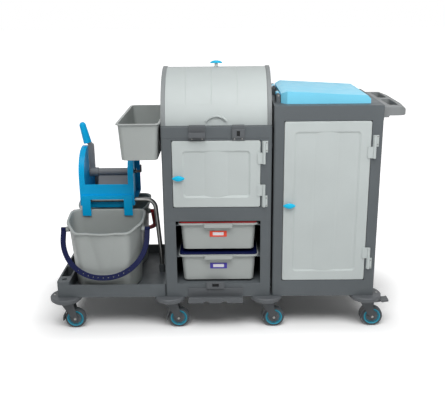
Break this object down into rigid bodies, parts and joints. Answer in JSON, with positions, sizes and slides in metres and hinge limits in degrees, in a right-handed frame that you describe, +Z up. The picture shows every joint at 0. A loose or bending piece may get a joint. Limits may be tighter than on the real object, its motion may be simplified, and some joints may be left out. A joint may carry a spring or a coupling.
{
  "type": "housekeeping trolley",
  "caption": "Housekeeping trolley: bucket platform with wringer, cabinet with drawers and roll-top hood, bag cabinet with hinged cover and push handle, on swivel casters.",
  "frame": {"origin": "centre of the bounding box, on the floor under the wheels", "axes": "+X along the trolley towards the push handle, +Y to the back, +Z up"},
  "size_m": [1.6588, 0.624, 1.2524],
  "materials": {
    "body_grey": "fine moulded grain",
    "panel_grey": "smooth moulded",
    "cheek_grey": "fine moulded grain",
    "tub_grey": "smooth moulded",
    "wringer_blue": "smooth moulded",
    "cover_blue": "smooth moulded",
    "knob_blue": "smooth moulded",
    "navy": "smooth moulded",
    "red": "smooth moulded",
    "dark_grey": "smooth moulded",
    "steel": "brushed",
    "fork_metal": "satin paint",
    "tyre": "matt rubber",
    "handle_grey": "fine moulded grain"
  },
  "bodies": {
    "trolley": {"base_tray": "body_grey", "mid_base": "body_grey", "drawer_cabinet_shell": "body_grey", "door_cabinet_shell": "body_grey", "mid_shelf": "body_grey", "mid_back_panel": "body_grey", "mid_top_deck": "body_grey", "right_base": "body_grey", "right_cabinet_shell": "body_grey", "right_back_panel": "body_grey", "right_top_deck": "body_grey", "hood_housing": "cheek_grey", "door_hinge_brackets": "panel_grey", "bin_hanger_rail": "dark_grey", "bucket_front": "tub_grey", "bucket_rear": "tub_grey", "wringer_hoop": "steel", "wringer_frame": "wringer_blue", "wringer_grid": "dark_grey", "mop_handle_clip": "dark_grey", "cover_hinge_pins": "steel", "push_handle": "handle_grey", "band_tool_holders": "dark_grey", "tool_ledge": "dark_grey", "bumper_discs": "dark_grey"},
    "hood_lid": {"hood_lid": "panel_grey"},
    "hood_knob": {"hood_knob": "knob_blue"},
    "mid_door": {"mid_door": "panel_grey"},
    "mid_door_knob": {"mid_door_knob": "knob_blue"},
    "right_door": {"right_door": "panel_grey"},
    "right_door_knob": {"right_door_knob": "knob_blue"},
    "drawer_upper": {"drawer_upper": "tub_grey", "drawer_upper_lid": "red"},
    "drawer_lower": {"drawer_lower": "tub_grey", "drawer_lower_lid": "navy"},
    "tray_bin": {"tray_bin": "tub_grey"},
    "bail_front": {"bail_front": "navy"},
    "bail_rear": {"bail_rear": "red"},
    "wringer_lever": {"wringer_lever": "dark_grey", "lever_grip": "wringer_blue", "wringer_paddle": "dark_grey"},
    "bag_cover": {"bag_cover": "cover_blue"},
    "fork_front_tray": {"fork_front_tray": "fork_metal"},
    "wheel_front_tray": {"wheel_front_tray": "tyre"},
    "fork_rear_tray": {"fork_rear_tray": "fork_metal"},
    "wheel_rear_tray": {"wheel_rear_tray": "tyre"},
    "fork_front_mid_left": {"fork_front_mid_left": "fork_metal"},
    "wheel_front_mid_left": {"wheel_front_mid_left": "tyre"},
    "fork_rear_mid_left": {"fork_rear_mid_left": "fork_metal"},
    "wheel_rear_mid_left": {"wheel_rear_mid_left": "tyre"},
    "fork_front_mid_right": {"fork_front_mid_right": "fork_metal"},
    "wheel_front_mid_right": {"wheel_front_mid_right": "tyre"},
    "fork_rear_mid_right": {"fork_rear_mid_right": "fork_metal"},
    "wheel_rear_mid_right": {"wheel_rear_mid_right": "tyre"},
    "fork_front_handle": {"fork_front_handle": "fork_metal"},
    "wheel_front_handle": {"wheel_front_handle": "tyre"},
    "fork_rear_handle": {"fork_rear_handle": "fork_metal"},
    "wheel_rear_handle": {"wheel_rear_handle": "tyre"},
    "brake_pedal_front": {"brake_pedal_front": "dark_grey"},
    "brake_pedal_rear": {"brake_pedal_rear": "dark_grey"}
  },
  "joints": [
    {"name": "hood_lid_roll", "type": "hinge", "parent": "trolley", "child": "hood_lid", "pos_m": [-0.0215, 0, 0.988], "axis": [-1, 0, 0], "range_deg": [0, 75]},
    {"name": "hood_knob_turn", "type": "hinge", "parent": "hood_lid", "child": "hood_knob", "pos_m": [-0.0215, 0.01235, 1.22368], "axis": [0, 0.0523, 0.9986], "range_deg": [0, 90]},
    {"name": "mid_door_swing", "type": "hinge", "parent": "trolley", "child": "mid_door", "pos_m": [0.191, -0.278, 0.7715], "axis": [0, 0, 1], "range_deg": [0, 110]},
    {"name": "mid_door_knob_turn", "type": "hinge", "parent": "mid_door", "child": "mid_door_knob", "pos_m": [-0.195, -0.272, 0.75605], "axis": [0, -1, 0], "range_deg": [0, 90]},
    {"name": "right_door_swing", "type": "hinge", "parent": "trolley", "child": "right_door", "pos_m": [0.6825, -0.278, 0.6305], "axis": [0, 0, 1], "range_deg": [0, 110]},
    {"name": "right_door_knob_turn", "type": "hinge", "parent": "right_door", "child": "right_door_knob", "pos_m": [0.3075, -0.272, 0.62293], "axis": [0, -1, 0], "range_deg": [0, 90]},
    {"name": "drawer_upper_slide", "type": "slide", "parent": "trolley", "child": "drawer_upper", "axis": [0, -1, 0], "range_m": [0, 0.34]},
    {"name": "drawer_lower_slide", "type": "slide", "parent": "trolley", "child": "drawer_lower", "axis": [0, -1, 0], "range_m": [0, 0.34]},
    {"name": "tray_bin_lift", "type": "slide", "parent": "trolley", "child": "tray_bin", "axis": [0, 0, 1], "range_m": [0, 0.12]},
    {"name": "bail_front_swing", "type": "hinge", "parent": "trolley", "child": "bail_front", "pos_m": [-0.564, -0.138, 0.47], "axis": [-1, 0, 0], "range_deg": [0, 138]},
    {"name": "bail_rear_swing", "type": "hinge", "parent": "trolley", "child": "bail_rear", "pos_m": [-0.564, 0.138, 0.47], "axis": [1, 0, 0], "range_deg": [0, 70]},
    {"name": "wringer_press", "type": "hinge", "parent": "trolley", "child": "wringer_lever", "pos_m": [-0.671, 0.112, 0.69], "axis": [1, 0, 0], "range_deg": [0, 65], "stiffness_Nm_per_rad": 3, "springref_deg": -20.05},
    {"name": "bag_cover_swing", "type": "hinge", "parent": "trolley", "child": "bag_cover", "pos_m": [0.258, 0, 1.112], "axis": [0, -1, 0], "range_deg": [0, 95]},
    {"name": "swivel_front_tray", "type": "hinge", "parent": "trolley", "child": "fork_front_tray", "pos_m": [-0.7545, -0.237, 0.143], "axis": [0, 0, 1], "continuous": true},
    {"name": "spin_front_tray", "type": "hinge", "parent": "fork_front_tray", "child": "wheel_front_tray", "pos_m": [-0.7165, -0.237, 0.05], "axis": [0, 1, 0], "continuous": true},
    {"name": "swivel_rear_tray", "type": "hinge", "parent": "trolley", "child": "fork_rear_tray", "pos_m": [-0.7545, 0.237, 0.143], "axis": [0, 0, 1], "continuous": true},
    {"name": "spin_rear_tray", "type": "hinge", "parent": "fork_rear_tray", "child": "wheel_rear_tray", "pos_m": [-0.7165, 0.237, 0.05], "axis": [0, 1, 0], "continuous": true},
    {"name": "swivel_front_mid_left", "type": "hinge", "parent": "trolley", "child": "fork_front_mid_left", "pos_m": [-0.2515, -0.237, 0.143], "axis": [0, 0, 1], "continuous": true},
    {"name": "spin_front_mid_left", "type": "hinge", "parent": "fork_front_mid_left", "child": "wheel_front_mid_left", "pos_m": [-0.2135, -0.237, 0.05], "axis": [0, 1, 0], "continuous": true},
    {"name": "swivel_rear_mid_left", "type": "hinge", "parent": "trolley", "child": "fork_rear_mid_left", "pos_m": [-0.2515, 0.237, 0.143], "axis": [0, 0, 1], "continuous": true},
    {"name": "spin_rear_mid_left", "type": "hinge", "parent": "fork_rear_mid_left", "child": "wheel_rear_mid_left", "pos_m": [-0.2135, 0.237, 0.05], "axis": [0, 1, 0], "continuous": true},
    {"name": "swivel_front_mid_right", "type": "hinge", "parent": "trolley", "child": "fork_front_mid_right", "pos_m": [0.2085, -0.237, 0.143], "axis": [0, 0, 1], "continuous": true},
    {"name": "spin_front_mid_right", "type": "hinge", "parent": "fork_front_mid_right", "child": "wheel_front_mid_right", "pos_m": [0.2465, -0.237, 0.05], "axis": [0, 1, 0], "continuous": true},
    {"name": "swivel_rear_mid_right", "type": "hinge", "parent": "trolley", "child": "fork_rear_mid_right", "pos_m": [0.2085, 0.237, 0.143], "axis": [0, 0, 1], "continuous": true},
    {"name": "spin_rear_mid_right", "type": "hinge", "parent": "fork_rear_mid_right", "child": "wheel_rear_mid_right", "pos_m": [0.2465, 0.237, 0.05], "axis": [0, 1, 0], "continuous": true},
    {"name": "swivel_front_handle", "type": "hinge", "parent": "trolley", "child": "fork_front_handle", "pos_m": [0.6845, -0.237, 0.143], "axis": [0, 0, 1], "continuous": true},
    {"name": "spin_front_handle", "type": "hinge", "parent": "fork_front_handle", "child": "wheel_front_handle", "pos_m": [0.7225, -0.237, 0.05], "axis": [0, 1, 0], "continuous": true},
    {"name": "swivel_rear_handle", "type": "hinge", "parent": "trolley", "child": "fork_rear_handle", "pos_m": [0.6845, 0.237, 0.143], "axis": [0, 0, 1], "continuous": true},
    {"name": "spin_rear_handle", "type": "hinge", "parent": "fork_rear_handle", "child": "wheel_rear_handle", "pos_m": [0.7225, 0.237, 0.05], "axis": [0, 1, 0], "continuous": true},
    {"name": "brake_front", "type": "hinge", "parent": "fork_front_handle", "child": "brake_pedal_front", "pos_m": [0.7105, -0.237, 0.124], "axis": [0, 1, 0], "range_deg": [0, 8], "stiffness_Nm_per_rad": 1, "springref_deg": -8.59},
    {"name": "brake_rear", "type": "hinge", "parent": "fork_rear_handle", "child": "brake_pedal_rear", "pos_m": [0.7105, 0.237, 0.124], "axis": [0, 1, 0], "range_deg": [0, 8], "stiffness_Nm_per_rad": 1, "springref_deg": -8.59}
  ]
}
